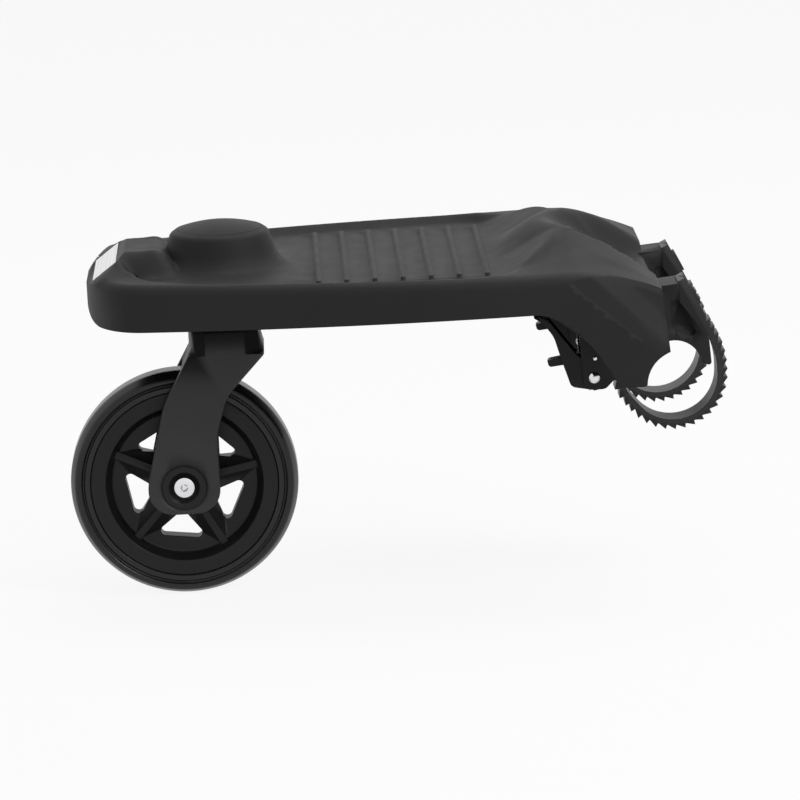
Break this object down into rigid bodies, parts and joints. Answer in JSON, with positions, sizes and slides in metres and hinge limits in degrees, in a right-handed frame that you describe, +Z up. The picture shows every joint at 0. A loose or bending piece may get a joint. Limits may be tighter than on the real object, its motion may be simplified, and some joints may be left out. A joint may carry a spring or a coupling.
{
  "type": "buggy board",
  "caption": "Moulded ride-on board with a ribbed dish, swivelling trailing caster wheel and toothed ratchet straps that clamp its saddle under the rear axle of a pushchair",
  "frame": {"origin": "on the axis of the saddle that takes the pushchair's axle, midway between the straps", "axes": "+X forward to the pushchair, +Y to the board's left along the axle, +Z up"},
  "size_m": [0.4584, 0.27, 0.2634],
  "materials": {
    "deck_plastic": "fine moulded grain",
    "fork_plastic": "fine moulded grain",
    "rim_plastic": "satin",
    "tyre_rubber": "smooth, half gloss",
    "reflector_film": "silver reflective film",
    "strap_plastic": "smooth flexible moulding",
    "buckle_plastic": "satin",
    "bush_plastic": "smooth",
    "bright_steel": "bright plated",
    "zinc_steel": "zinc plated",
    "bearing_steel": "ground",
    "spring_steel": "drawn wire",
    "dark_steel": "black zinc"
  },
  "bodies": {
    "board": {"deck": "deck_plastic", "dome_cap": "deck_plastic", "rear_reflector": "reflector_film", "upper_swivel_bush": "bush_plastic", "lower_swivel_bush": "bush_plastic", "strap_right": "strap_plastic", "strap_left": "strap_plastic", "strap_screws": "dark_steel", "buckle_base_right": "buckle_plastic", "buckle_base_left": "buckle_plastic", "buckle_screws": "zinc_steel", "lever_pins": "bright_steel", "pawl_pins": "bright_steel", "pawl_springs": "spring_steel"},
    "caster_fork": {"fork": "fork_plastic", "kingpin": "zinc_steel", "kingpin_washer": "zinc_steel", "kingpin_nut": "zinc_steel", "axle_bolt": "bright_steel", "axle_nut": "zinc_steel", "axle_cup_right": "rim_plastic", "axle_cup_left": "rim_plastic", "hub_spacer": "zinc_steel", "bearing_inner_rings": "bearing_steel"},
    "wheel": {"wheel_rim": "rim_plastic", "tyre": "tyre_rubber", "bearing_right": "bearing_steel", "bearing_left": "bearing_steel"},
    "lever_right": {"ratchet_lever_right": "buckle_plastic"},
    "pawl_right": {"release_pawl_right": "buckle_plastic"},
    "lever_left": {"ratchet_lever_left": "buckle_plastic"},
    "pawl_left": {"release_pawl_left": "buckle_plastic"}
  },
  "joints": [
    {"name": "fork_swivel", "type": "hinge", "parent": "board", "child": "caster_fork", "pos_m": [-0.308, 0, 0.0439], "axis": [0, 0, 1], "continuous": true},
    {"name": "wheel_spin", "type": "hinge", "parent": "caster_fork", "child": "wheel", "pos_m": [-0.3415, 0, -0.079], "axis": [0, 1, 0], "continuous": true},
    {"name": "lever_swing_right", "type": "hinge", "parent": "board", "child": "lever_right", "pos_m": [-0.05552, -0.064, -0.00409], "axis": [0, -1, 0], "range_deg": [0, 80]},
    {"name": "pawl_release_right", "type": "hinge", "parent": "board", "child": "pawl_right", "pos_m": [-0.05452, -0.064, 0.00951], "axis": [0, -1, 0], "range_deg": [0, 14], "stiffness_Nm_per_rad": 0.06, "springref_deg": -11.46},
    {"name": "lever_swing_left", "type": "hinge", "parent": "board", "child": "lever_left", "pos_m": [-0.05552, 0.064, -0.00409], "axis": [0, -1, 0], "range_deg": [0, 80]},
    {"name": "pawl_release_left", "type": "hinge", "parent": "board", "child": "pawl_left", "pos_m": [-0.05452, 0.064, 0.00951], "axis": [0, -1, 0], "range_deg": [0, 14], "stiffness_Nm_per_rad": 0.06, "springref_deg": -11.46}
  ]
}
